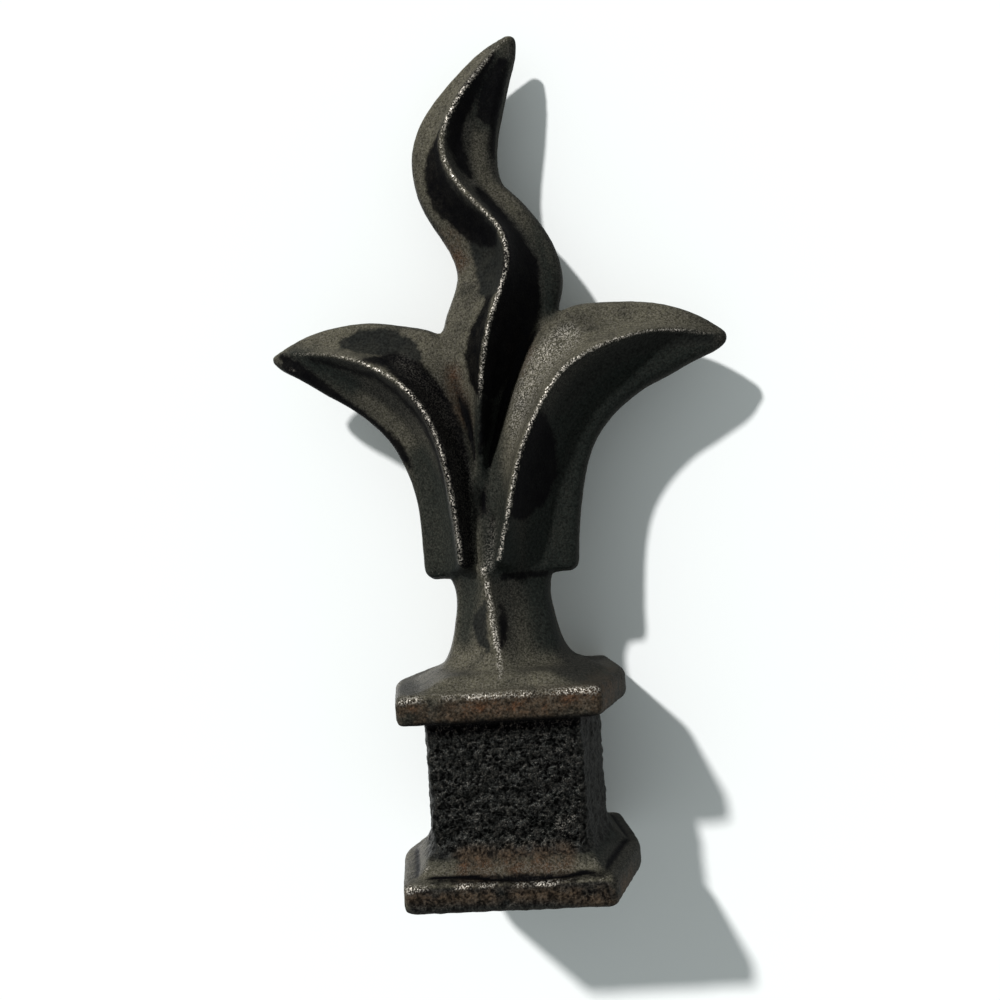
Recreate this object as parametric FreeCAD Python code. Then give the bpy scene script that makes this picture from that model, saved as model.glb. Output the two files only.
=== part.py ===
import FreeCAD, Part
import os
from collections import namedtuple
from math import cos, hypot, pi, radians, sin, tan

"""Railing spear finial: one iron casting that drops over the end of a square bar.

Millimetres, +Z up. The origin is the centre of the socket's mouth, in the flat underside of the
foot. +Y is the back. The mould parts at y = 0, so the back is the front mirrored, and every
side of the foot, block and collar leans in from that plane by its draft.
"""

# Heights of the stacked parts
FOOT_BAND = 5.9
FOOT_SHOULDER = 4.4
BLOCK_HEIGHT = 24.7
COLLAR_BAND = 6.0
COLLAR_SLOPE = 2.6
NECK_HEIGHT = 17.5
FLAME_HEIGHT = 111.0
LEAF_RISE = 54.0

# Half widths at the parting plane, draft of one side, and half depths
FOOT_HALF_WIDTH = 24.4
FOOT_HALF_DEPTH = 23.0
COLLAR_HALF_WIDTH = 23.8
COLLAR_HALF_DEPTH = 22.0
BLOCK_HALF_WIDTH = 18.1
BLOCK_HALF_DEPTH = 16.0
FLANGE_DRAFT = 4.5
BLOCK_DRAFT = 3.2

# Socket for the bar
BAR_SIDE = 19.05
BAR_CLEARANCE = 0.95
SOCKET_DEPTH = 32.0
SOCKET_CORNER = 1.5

# Neck
NECK_HALF_WIDTH = 9.3
NECK_HALF_DEPTH = 11.5
NECK_FLARE = 6.0
NECK_LIP_HALF_THICKNESS = 6.0
NECK_ROUND = 2.6
NECK_CREST_TOP = -2.0
NECK_CREST_FOOT = -0.7

# Leaves and flame
LEFT_REACH = 45.4
RIGHT_REACH = 49.5
LEAF_DEPTH = 16.0
FLAME_WIDTH = 29.0
FLAME_DEPTH = 14.5
LIP_HALF_THICKNESS = 4.0
INNER_LIP_HALF_THICKNESS = 9.0
INNER_LIP_ROUND = 3.4
OUTER_LIP_ROUND = 1.8
CREST_HALF_WIDTH = 0.6
RIB_RISE = 14.0
RIB_HALF_WIDTH = 3.2
RIB_CREST_HALF_WIDTH = 0.9
RIB_DEPTH = 10.6
RIB_OFFSET = -2.1
LEAF_FOOT_DRAFT = 12.0
LEAF_FOOT_ROUND = 2.2

# Hollow flank between a lip and the crest: where its floor and its rise lie, as shares of the
# flank's width, how far the floor dips under the lip and how far the rise stands over it, as
# shares of the lip's and of the crest's height, and how much of that hollow is there, where 0
# is a plain slope
FLOOR_PLACE = 0.45
FLOOR_DIP = 0.06
RISE_PLACE = 0.86
RISE_HEIGHT = 0.26
BLADE_HOLLOW = 1.0
NECK_HOLLOW = 0.25

# Softened edges of the base
BAND_ROUND = 1.3
BAND_CORNER_ROUND = 2.0
PARTING_ROUND = 11.0
BLOCK_ROUND = 1.0
GROOVE_RADIUS = 1.6
GROOVE_END_RADIUS = 0.3
GROOVE_SETBACK = 2.3
GROOVE_HALF_LENGTH = 15.5
GROOVE_OFFSET = 3.5
SHOULDER_INSET = 1.6

# Straight chords across a blade's flank, across a flank of the neck or the rib, and round a
# lip, and the share of a lip's height where its side stands upright
BLADE_CHORDS = 3
NECK_CHORDS = 2
LIP_CHORDS = 2
SIDE_SHARE = 0.45

# A kind of flank: half the crest's land, how hollow it is and its number of chords
Flank = namedtuple("Flank", "half_land hollow chords")
BLADE_FLANK = Flank(CREST_HALF_WIDTH, BLADE_HOLLOW, BLADE_CHORDS)
NECK_FLANK = Flank(CREST_HALF_WIDTH, NECK_HOLLOW, NECK_CHORDS)
RIB_FLANK = Flank(RIB_CREST_HALF_WIDTH, NECK_HOLLOW, NECK_CHORDS)

# Limits that keep the outline of a narrow section from crossing itself: a lip's share of the
# depth, and the share of a flank that a rounding takes
LIP_LIMIT = 0.6
INSET_LIMIT = 0.3

# Two points closer than this are one, and two solids that meet face to face share this much
TOUCH = 0.01
OVERLAP = 0.4

# Levels
BLOCK_BASE = FOOT_BAND + FOOT_SHOULDER
COLLAR_BASE = BLOCK_BASE + BLOCK_HEIGHT
COLLAR_EDGE = COLLAR_BASE + COLLAR_BAND
NECK_BASE = COLLAR_EDGE + COLLAR_SLOPE
LEAF_BASE = NECK_BASE + NECK_HEIGHT

# One cross-section of a blade: its two edges and its crest as (across, up) in per cent of the
# blade's own width and height, the crest's depth in per cent of the blade's depth, and how far
# edge_a has the thick lip of a leaf's inner side, from 0 to 100
Station = namedtuple("Station", "edge_a edge_b crest depth thick", defaults=(0,))

FLAME = (
    Station((-17, 12), (3, 12), (-7, 12), 50, 40),
    Station((-19, 22), (9, 22), (-5, 22), 68, 40),
    Station((-22, 31), (20, 31), (-2, 31), 87, 40),
    Station((-27, 39), (36, 39), (3, 39), 96, 40),
    Station((-28, 47), (50, 47), (12, 47), 100, 25),
    Station((-17, 55), (57, 55), (23, 55), 98, 10),
    Station((-23, 61), (49, 62), (20, 61), 92),
    Station((-36, 67), (30, 69), (5, 66), 84),
    Station((-43, 73), (18, 73), (-13, 73), 76),
    Station((-43, 79), (17, 79), (-17, 79), 68),
    Station((-30.5, 86), (23, 86), (-6, 86), 56),
    Station((-9, 92), (30, 92), (9.5, 92), 40),
    Station((9, 96.4), (34.5, 95.4), (20.5, 96), 22),
    Station((29, 99.4), (36, 99), (32.5, 99.2), 9),
)
RIGHT_LEAF = (
    Station((-8, -4), (31.5, -4), (-1, -4), 86, 100),
    Station((-7, 14), (33, 14), (4.5, 14), 93, 100),
    Station((-4.5, 29), (35.5, 29), (9, 29), 100, 100),
    Station((1, 45), (40.5, 45), (14, 45), 100, 100),
    Station((9, 65), (49.5, 57), (22, 60), 97, 100),
    Station((19, 84), (59, 64), (32.5, 73), 92, 90),
    Station((33, 98), (66.5, 68), (45, 80), 84, 50),
    Station((49, 100), (74, 71), (55.5, 83.5), 72, 10),
    Station((65, 99), (82, 74.5), (67, 86), 56),
    Station((80, 95.5), (90, 77.5), (80.5, 86), 36),
    Station((92, 90), (96, 80), (92, 84.5), 18),
    Station((98.5, 85.5), (98.9, 82.5), (98.7, 84), 7),
)
LEFT_LEAF = (
    Station((1, -4), (34.5, -4), (13.5, -4), 86, 100),
    Station((2, 17), (35, 17), (14, 17), 93, 100),
    Station((4, 34), (37, 34), (15.5, 34), 100, 100),
    Station((7, 51), (43.5, 49), (19, 50), 100, 75),
    Station((12.5, 71), (51.5, 58.5), (26.5, 64.5), 97, 50),
    Station((18.5, 91), (63, 67), (39, 75.5), 90, 30),
    Station((35, 97), (74, 73), (52, 82), 78, 10),
    Station((54, 99.5), (84.5, 79), (65.5, 86), 60),
    Station((73.5, 98), (92.5, 83), (79.5, 88.5), 38),
    Station((89, 94), (97.3, 86), (92, 89.5), 18),
    Station((98.6, 90), (99.2, 87.8), (98.9, 88.9), 7),
)


def along(start, end, distance):
    """The point at a distance from start towards end, in the x-z plane."""
    length = hypot(end[0] - start[0], end[1] - start[1])
    share = distance / length
    return (start[0] + share * (end[0] - start[0]), start[1] + share * (end[1] - start[1]))


def lip_corners(edge, crest, lip, inset):
    """Corners round a lip, from its upright side in to the start of the flank, as (x, z) with a depth.

    They lie on a quarter of an ellipse.
    """
    corners = []
    for step in range(LIP_CHORDS):
        angle = 0.5 * pi * step / LIP_CHORDS
        place = along(edge, crest, (1 - cos(angle)) * inset)
        corners.append((place, (SIDE_SHARE + (1 - SIDE_SHARE) * sin(angle)) * lip))
    return corners


def flank_corners(edge, crest, lip, inset, depth, half, kind):
    """Corners of the flank from a lip up to the crest's land, as (x, z) with a depth.

    They lie on a cubic curve, flattened where its kind is less than fully hollow.
    """
    span = hypot(crest[0] - edge[0], crest[1] - edge[1])
    places = (inset, FLOOR_PLACE * span, RISE_PLACE * span, span - half)
    heights = (lip, (1 - FLOOR_DIP) * lip, lip + RISE_HEIGHT * (depth - lip), depth)
    corners = []
    for step in range(kind.chords + 1):
        t = step / kind.chords
        weights = ((1 - t) ** 3, 3 * t * (1 - t) ** 2, 3 * t * t * (1 - t), t ** 3)
        place = sum(weight * pole for weight, pole in zip(weights, places))
        height = sum(weight * pole for weight, pole in zip(weights, heights))
        plain = lip + (depth - lip) * (place - inset) / (span - half - inset)
        corners.append((along(edge, crest, place), plain + kind.hollow * (height - plain)))
    return corners


def section(edges, crest, depth, lips, rounds, kind):
    """Corners of a blade's closed outline at one station.

    The outline has a blunt, rounded lip at each edge, a narrow land along the crest on the front
    and on the back, and a flank between each lip and the land.
    """
    halves = []
    for edge, lip, lip_round in zip(edges, lips, rounds):
        width = hypot(crest[0] - edge[0], crest[1] - edge[1])
        height = min(lip, LIP_LIMIT * depth)
        inset = min(lip_round, INSET_LIMIT * width)
        half = min(kind.half_land, INSET_LIMIT * width)
        rise = flank_corners(edge, crest, height, inset, depth, half, kind)
        halves.append(lip_corners(edge, crest, height, inset) + rise)
    front = halves[0] + halves[1][::-1]
    loop = [(point, -y) for point, y in front] + front[::-1]
    return [FreeCAD.Vector(x, y, z) for (x, z), y in loop]


def sweep(sections):
    """A solid through its sections: a smooth line along each corner, a ruled face between
    neighbouring lines, and a flat face at each end.
    """
    parameters = [0]
    for before, after in zip(sections, sections[1:]):
        steps = [a.distanceToPoint(b) for a, b in zip(before, after)]
        parameters.append(parameters[-1] + sum(steps) / len(steps))
    lines = []
    for corners in zip(*sections):
        curve = Part.BSplineCurve()
        curve.interpolate(Points=list(corners), Parameters=parameters)
        lines.append(curve.toShape())
    faces = [Part.makeRuledSurface(line, after) for line, after in zip(lines, lines[1:] + lines[:1])]
    for corners in (sections[0], sections[-1]):
        faces.append(Part.Face(Part.makePolygon(corners + corners[:1])))
    shell = Part.makeShell(faces)
    shell.sewShape()
    solid = Part.makeSolid(shell)
    if solid.Volume < 0:
        solid.reverse()
    return solid


def nearest(point, start, end):
    """The point of the line from start to end that lies nearest a point."""
    run = (end[0] - start[0], end[1] - start[1])
    length = hypot(*run)
    return along(start, end, ((point[0] - start[0]) * run[0] + (point[1] - start[1]) * run[1]) / length)


def blade(stations, width, height, depth, base):
    """A blade through its stations, from its foot to its tip. Its two end sections are flat."""
    sections = []
    for station in stations:
        points = [
            (0.01 * across * width, base + 0.01 * up * height)
            for across, up in (station.edge_a, station.edge_b, station.crest)
        ]
        if station in (stations[0], stations[-1]):
            points[2] = nearest(points[2], points[0], points[1])
        thicker = 0.01 * station.thick * (INNER_LIP_HALF_THICKNESS - LIP_HALF_THICKNESS)
        lips = (LIP_HALF_THICKNESS + thicker, LIP_HALF_THICKNESS)
        rounds = (INNER_LIP_ROUND, OUTER_LIP_ROUND)
        crest_depth = 0.01 * station.depth * depth
        sections.append(section(points[:2], points[2], crest_depth, lips, rounds, BLADE_FLANK))
    return sweep(sections)


def outline(half_width, half_depth, draft, z):
    """Six-cornered outline at one height: widest at the parting plane, narrower at the faces."""
    face = half_width - draft
    corners = (
        (-face, -half_depth), (face, -half_depth), (half_width, 0),
        (face, half_depth), (-face, half_depth), (-half_width, 0),
    )
    points = [FreeCAD.Vector(x, y, z) for x, y in corners]
    return Part.makePolygon(points + points[:1])


def prism(half_width, half_depth, draft, low, high):
    """An upright solid with that outline."""
    lower = Part.Face(outline(half_width, half_depth, draft, low))
    return lower.extrude(FreeCAD.Vector(0, 0, high - low))


def upright_edges(shape, near_parting):
    """The upright edges of a shape, either at the parting plane or away from it."""
    edges = []
    for edge in shape.Edges:
        ends = [vertex.Point for vertex in edge.Vertexes]
        upright = hypot(ends[0].x - ends[-1].x, ends[0].y - ends[-1].y) < TOUCH
        if upright and (abs(edge.CenterOfMass.y) < TOUCH) == near_parting:
            edges.append(edge)
    return edges


def flange(half_width, half_depth, low, high):
    """A flange band with drafted sides, softened on every edge."""
    band = prism(half_width, half_depth, FLANGE_DRAFT, low, high)
    band = band.makeFillet(PARTING_ROUND, upright_edges(band, True))
    band = band.makeFillet(BAND_CORNER_ROUND, upright_edges(band, False))
    rims = [edge for edge in band.Edges if abs(edge.CenterOfMass.z - 0.5 * (low + high)) > TOUCH]
    return band.makeFillet(BAND_ROUND, rims)


def slope(half_width, half_depth, low, high, top_width, top_depth, top_draft):
    """The sloping top of a flange, from just inside its band to a smaller outline above."""
    lower = outline(half_width - SHOULDER_INSET, half_depth - SHOULDER_INSET, FLANGE_DRAFT, low)
    return Part.makeLoft([lower, outline(top_width, top_depth, top_draft, high)], True, True)


def make_base():
    """Foot, socket block and collar."""
    foot = flange(FOOT_HALF_WIDTH, FOOT_HALF_DEPTH, 0, FOOT_BAND)
    shoulder = slope(
        FOOT_HALF_WIDTH, FOOT_HALF_DEPTH, FOOT_BAND - BAND_ROUND,
        BLOCK_BASE, BLOCK_HALF_WIDTH, BLOCK_HALF_DEPTH, BLOCK_DRAFT)
    block = prism(BLOCK_HALF_WIDTH, BLOCK_HALF_DEPTH, BLOCK_DRAFT, BLOCK_BASE, COLLAR_BASE)
    block = block.makeFillet(PARTING_ROUND, upright_edges(block, True))
    block = block.makeFillet(BLOCK_ROUND, upright_edges(block, False))
    collar = flange(COLLAR_HALF_WIDTH, COLLAR_HALF_DEPTH, COLLAR_BASE, COLLAR_EDGE)
    cope = slope(
        COLLAR_HALF_WIDTH, COLLAR_HALF_DEPTH, COLLAR_EDGE - BAND_ROUND,
        NECK_BASE, NECK_HALF_WIDTH + NECK_FLARE, NECK_HALF_DEPTH + NECK_FLARE, NECK_FLARE)
    return foot.fuse([shoulder, block, collar, cope]).cut(make_grooves())


def make_grooves():
    """The crease where the shoulder meets the foot's band, front and back, fading at its ends."""
    grooves = []
    for side in (-1, 1):
        y = side * (FOOT_HALF_DEPTH - GROOVE_SETBACK)
        rings = []
        for share in (-1, 0, 1):
            x = GROOVE_OFFSET + share * GROOVE_HALF_LENGTH
            radius = GROOVE_END_RADIUS if share else GROOVE_RADIUS
            corners = ((-radius, 0), (0, -radius), (radius, 0), (0, radius), (-radius, 0))
            rings.append(Part.makePolygon([FreeCAD.Vector(x, y + v, FOOT_BAND + w) for v, w in corners]))
        grooves.append(Part.makeLoft(rings, True, True))
    return grooves


def make_neck():
    """Tapered neck with a crest front and back, flaring in a cove to the collar and at its sides
    into the leaves' feet.
    """
    profile = (
        (-0.15, 1.0, 1.0), (0.03, 0.6, 0.6), (0.2, 0.34, 0.36), (0.46, 0.16, 0.17),
        (0.75, 0.03, 0.02), (0.95, 0.09, 0), (1.2, 0.6, 0),
    )
    sections = []
    for level, side_flare, face_flare in profile:
        z = NECK_BASE + level * NECK_HEIGHT
        half_width = NECK_HALF_WIDTH + side_flare * NECK_FLARE
        depth = NECK_HALF_DEPTH + face_flare * NECK_FLARE
        crest = (NECK_CREST_FOOT + level * (NECK_CREST_TOP - NECK_CREST_FOOT), z)
        lips = (NECK_LIP_HALF_THICKNESS + face_flare * NECK_FLARE,) * 2
        edges = ((-half_width, z), (half_width, z))
        sections.append(section(edges, crest, depth, lips, (NECK_ROUND,) * 2, NECK_FLANK))
    return sweep(sections).common(under_feet(OVERLAP))


def foot_lean(depth):
    """How far a leaf's foot has risen at a depth from the parting plane."""
    return depth * tan(radians(LEAF_FOOT_DRAFT))


def under_feet(above):
    """The room under the leaves' feet, up to a little above them."""
    reach = 2 * LEAF_DEPTH
    middle = LEAF_BASE + above
    side = middle + foot_lean(reach)
    corners = ((0, middle), (reach, side), (reach, 0), (-reach, 0), (-reach, side), (0, middle))
    profile = Part.makePolygon([FreeCAD.Vector(-LEFT_REACH, y, z) for y, z in corners])
    return Part.Face(profile).extrude(FreeCAD.Vector(LEFT_REACH + RIGHT_REACH, 0, 0))


def foot_cutter(stations, reach):
    """What lies under a leaf's foot, in front and behind, with its outer corner rounded.

    Both halves lean up from the parting plane by the foot's draft.
    """
    side = 1 if reach > 0 else -1
    low, high = stations[:2]
    share = (100 * LEAF_FOOT_ROUND / LEAF_RISE - low.edge_b[1]) / (high.edge_b[1] - low.edge_b[1])
    outer = 0.01 * reach * (low.edge_b[0] + share * (high.edge_b[0] - low.edge_b[0]))
    inner = outer - side * LEAF_FOOT_ROUND
    bend = (1 - 0.5 ** 0.5) * LEAF_FOOT_ROUND
    far = 2 * reach

    def point(x, z):
        return FreeCAD.Vector(x, 0, LEAF_BASE + z)

    corner = Part.Arc(
        point(inner, 0), point(outer - side * bend, bend), point(outer, LEAF_FOOT_ROUND)).toShape()
    rest = Part.makePolygon([
        point(outer, LEAF_FOOT_ROUND), point(far, LEAF_FOOT_ROUND), point(far, -LEAF_DEPTH),
        point(-far, -LEAF_DEPTH), point(-far, 0), point(inner, 0)])
    face = Part.Face(Part.Wire([corner] + rest.Edges))
    depth = 2 * LEAF_DEPTH
    return [face.extrude(FreeCAD.Vector(0, lean * depth, foot_lean(depth))) for lean in (-1, 1)]


def make_leaf(stations, reach):
    """A leaf with its flat foot cut to shape."""
    leaf = blade(stations, reach, LEAF_RISE, LEAF_DEPTH, LEAF_BASE)
    return leaf.cut(foot_cutter(stations, reach))


def make_rib():
    """The low rib between the leaves' feet, from the neck's crest up into the valley."""
    sections = []
    for up, depth in ((-0.2, 1.0), (0.3, 1.0), (0.7, 0.94), (1.0, 0.78)):
        z = LEAF_BASE + up * RIB_RISE
        edges = ((RIB_OFFSET - RIB_HALF_WIDTH, z), (RIB_OFFSET + RIB_HALF_WIDTH, z))
        lips = (LIP_HALF_THICKNESS,) * 2
        rounds = (OUTER_LIP_ROUND,) * 2
        sections.append(section(edges, (RIB_OFFSET, z), depth * RIB_DEPTH, lips, rounds, RIB_FLANK))
    return sweep(sections)


def make_socket():
    """The square socket, with rounded corners and a flat end."""
    side = BAR_SIDE + BAR_CLEARANCE
    socket = Part.makeBox(side, side, SOCKET_DEPTH + 1, FreeCAD.Vector(-0.5 * side, -0.5 * side, -1))
    return socket.makeFillet(SOCKET_CORNER, upright_edges(socket, False))


flame = blade(FLAME, FLAME_WIDTH, FLAME_HEIGHT, FLAME_DEPTH, LEAF_BASE)
left_leaf = make_leaf(LEFT_LEAF, -LEFT_REACH)
right_leaf = make_leaf(RIGHT_LEAF, RIGHT_REACH)
casting = make_base().fuse([make_neck(), make_rib(), flame, left_leaf, right_leaf])
casting = casting.cut(make_socket())

os.makedirs("parts", exist_ok=True)
casting.exportStep("parts/finial_casting.step")
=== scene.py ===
"""Dresses the railing spear finial: one sand-cast iron piece, weathered and rubbed bright.

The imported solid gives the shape. It is remeshed finely, its chords are smoothed into hollows
and its skin is roughened as sand casting leaves it. One iron finish is laid over it by masks,
which are worked out from the shape and from strokes on its front. The part's own frame is
used throughout, in metres unless a docstring says millimetres.
"""
import logging
from dataclasses import dataclass, field
from enum import Enum
from math import cos, radians, sin

import bmesh
import bpy
import numpy as np
from mathutils import Matrix, Vector


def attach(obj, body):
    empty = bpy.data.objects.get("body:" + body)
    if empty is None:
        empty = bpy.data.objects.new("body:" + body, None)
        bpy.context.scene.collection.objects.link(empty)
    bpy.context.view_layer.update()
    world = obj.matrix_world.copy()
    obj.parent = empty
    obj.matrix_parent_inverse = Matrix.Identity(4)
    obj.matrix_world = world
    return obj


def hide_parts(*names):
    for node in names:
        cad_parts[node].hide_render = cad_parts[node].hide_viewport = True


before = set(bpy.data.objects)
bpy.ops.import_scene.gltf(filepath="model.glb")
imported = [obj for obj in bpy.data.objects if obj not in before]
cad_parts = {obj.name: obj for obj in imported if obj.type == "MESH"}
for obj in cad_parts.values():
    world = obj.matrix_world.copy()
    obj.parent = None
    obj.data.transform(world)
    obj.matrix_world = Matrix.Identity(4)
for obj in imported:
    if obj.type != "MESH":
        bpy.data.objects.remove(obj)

MM = 0.001
NODE = "finial_casting"
BODY = "root"
# Millimetres outside a stroke, beyond the reach of any border
FAR_OUTSIDE = 9.0

log = logging.getLogger("finial")


def linear(hex_colour: str, alpha: float = 1.0) -> tuple[float, float, float, float]:
    """Turns an sRGB hex colour into Blender's linear colour.

    Args:
        hex_colour: six hex digits, with or without a leading hash.
        alpha: the fourth channel.

    Returns:
        Red, green, blue and alpha.
    """
    digits = hex_colour.lstrip("#")
    channels = [int(digits[i : i + 2], 16) / 255 for i in (0, 2, 4)]
    turned = [c / 12.92 if c <= 0.04045 else ((c + 0.055) / 1.055) ** 2.4 for c in channels]
    return (turned[0], turned[1], turned[2], alpha)


def add_node(
    tree: bpy.types.NodeTree, kind: str, inputs: dict | None = None, **settings: object
) -> bpy.types.Node:
    """Adds one node with its settings, values and links.

    Args:
        tree: the tree that it goes into.
        kind: Blender's name for the node's type.
        inputs: socket name or number to a value, or to the socket that feeds it.
        **settings: the node's own properties.

    Returns:
        The new node.
    """
    node = tree.nodes.new(kind)
    for name, value in settings.items():
        setattr(node, name, value)
    for key, value in (inputs or {}).items():
        if isinstance(value, bpy.types.NodeSocket):
            tree.links.new(value, node.inputs[key])
        else:
            node.inputs[key].default_value = value
    return node


def ramp(
    tree: bpy.types.NodeTree, value: bpy.types.NodeSocket, low: float, high: float
) -> bpy.types.NodeSocket:
    """A smooth mask that is 0 at low and 1 at high; low may be the larger.

    Args:
        tree: the tree that it goes into.
        value: the socket that is turned into a mask.
        low: where the mask is 0.
        high: where the mask is 1.

    Returns:
        The mask's socket.
    """
    settings = {"interpolation_type": "SMOOTHSTEP"}
    limits = {"Value": value, "From Min": low, "From Max": high}
    return add_node(tree, "ShaderNodeMapRange", limits, **settings).outputs["Result"]


def combine(
    tree: bpy.types.NodeTree, operation: str, first: object, second: object
) -> bpy.types.NodeSocket:
    """One sum on two sockets or numbers.

    Args:
        tree: the tree that it goes into.
        operation: Blender's name for the sum, such as ADD or SUBTRACT.
        first: socket or number.
        second: socket or number.

    Returns:
        The result's socket.
    """
    return add_node(tree, "ShaderNodeMath", {0: first, 1: second}, operation=operation).outputs[0]


def times(tree: bpy.types.NodeTree, *factors: object) -> bpy.types.NodeSocket:
    """The product of two or more sockets and numbers.

    Args:
        tree: the tree that it goes into.
        *factors: sockets or numbers.

    Returns:
        The product's socket.
    """
    product = factors[0]
    for factor in factors[1:]:
        product = combine(tree, "MULTIPLY", product, factor)
    return product


def largest(tree: bpy.types.NodeTree, *values: object) -> bpy.types.NodeSocket:
    """The largest of two or more sockets and numbers.

    Args:
        tree: the tree that it goes into.
        *values: sockets or numbers.

    Returns:
        The largest value's socket.
    """
    best = values[0]
    for value in values[1:]:
        best = combine(tree, "MAXIMUM", best, value)
    return best


def scaled(
    tree: bpy.types.NodeTree,
    value: bpy.types.NodeSocket,
    given: tuple[float, float],
    wanted: tuple[float, float],
) -> bpy.types.NodeSocket:
    """A value taken in a straight line from one range to another, and held at its ends.

    Args:
        tree: the tree that it goes into.
        value: the socket that is scaled.
        given: the range that the value has.
        wanted: the range that it gets.

    Returns:
        The scaled value's socket.
    """
    limits = {"Value": value, "From Min": given[0], "From Max": given[1]}
    limits.update({"To Min": wanted[0], "To Max": wanted[1]})
    return add_node(tree, "ShaderNodeMapRange", limits).outputs["Result"]


def between(
    tree: bpy.types.NodeTree, share: bpy.types.NodeSocket, under: float, over: bpy.types.NodeSocket
) -> bpy.types.NodeSocket:
    """A number mixed from two by a mask.

    Args:
        tree: the tree that it goes into.
        share: the mask, 0 for the number under and 1 for the number over.
        under: the number where the mask is 0.
        over: the socket that counts where the mask is 1.

    Returns:
        The mixed number's socket.
    """
    # The Mix node's sockets share their names, so they go by number
    mix = add_node(tree, "ShaderNodeMix", {0: share, 2: under, 3: over}, data_type="FLOAT")
    return mix.outputs[0]


def layer(tree: bpy.types.NodeTree, mask: object, under: object, over: object) -> bpy.types.NodeSocket:
    """Lays one colour over another by a mask.

    Args:
        tree: the tree that it goes into.
        mask: socket or number, 0 for the colour under and 1 for the colour over.
        under: socket or colour.
        over: socket or colour.

    Returns:
        The mixed colour's socket.
    """
    # The Mix node's sockets share their names, so they go by number
    mix = add_node(tree, "ShaderNodeMix", {0: mask, 6: under, 7: over}, data_type="RGBA")
    return mix.outputs[2]


class Mask(Enum):
    """The surface masks that the casting carries as attributes.

    The first six run from 0 to 1; the others hold the millimetres outside their strokes.
    """

    CREST = "crest"
    # Rubbed upper rims of the bands, partly painted glints
    RIM = "rim"
    # Black painted shade in the crevice low on the foot, and black in the deepest concave places above
    # the collar
    CREVICE = "crevice"
    HOLLOW = "hollow"
    COARSE = "coarse"
    # Painted light: 1 on the faces turned towards the key lamp, which get a lighter tan
    PAINTED_LIT_SIDE = "facing"
    BLACK = "black"
    FILM = "film"
    RUST = "rust"
    # Darker skin, in places painted shade and painted shadow
    DARK_AND_SHADE = "dark_and_shade"
    # Gritty places with bright metal specks, partly painted glints
    SHEEN = "sheen"


@dataclass(frozen=True)
class Stroke:
    """One tapering stroke on the front: a stained patch, painted shade, painted shadow, or a rubbed
    line.

    Its points are x, z and half width in millimetres.
    """

    kind: Mask
    points: tuple[tuple[float, float, float], ...]

    def outside(self, x: np.ndarray, z: np.ndarray) -> np.ndarray:
        """How far each place is outside the stroke.

        Args:
            x: the places' x in millimetres.
            z: the places' z in millimetres.

        Returns:
            Millimetres, negative inside the stroke.
        """
        best = np.full(len(x), FAR_OUTSIDE)
        for (x0, z0, half0), (x1, z1, half1) in zip(self.points, self.points[1:]):
            run_x, run_z = x1 - x0, z1 - z0
            share = ((x - x0) * run_x + (z - z0) * run_z) / (run_x**2 + run_z**2)
            share = share.clip(0, 1)
            gap = np.hypot(x - x0 - share * run_x, z - z0 - share * run_z)
            best = np.minimum(best, gap - half0 - share * (half1 - half0))
        return best


# Strokes on the front: dark patches, rust and rubbed metal, and in many places painted shade and painted
# shadow
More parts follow.
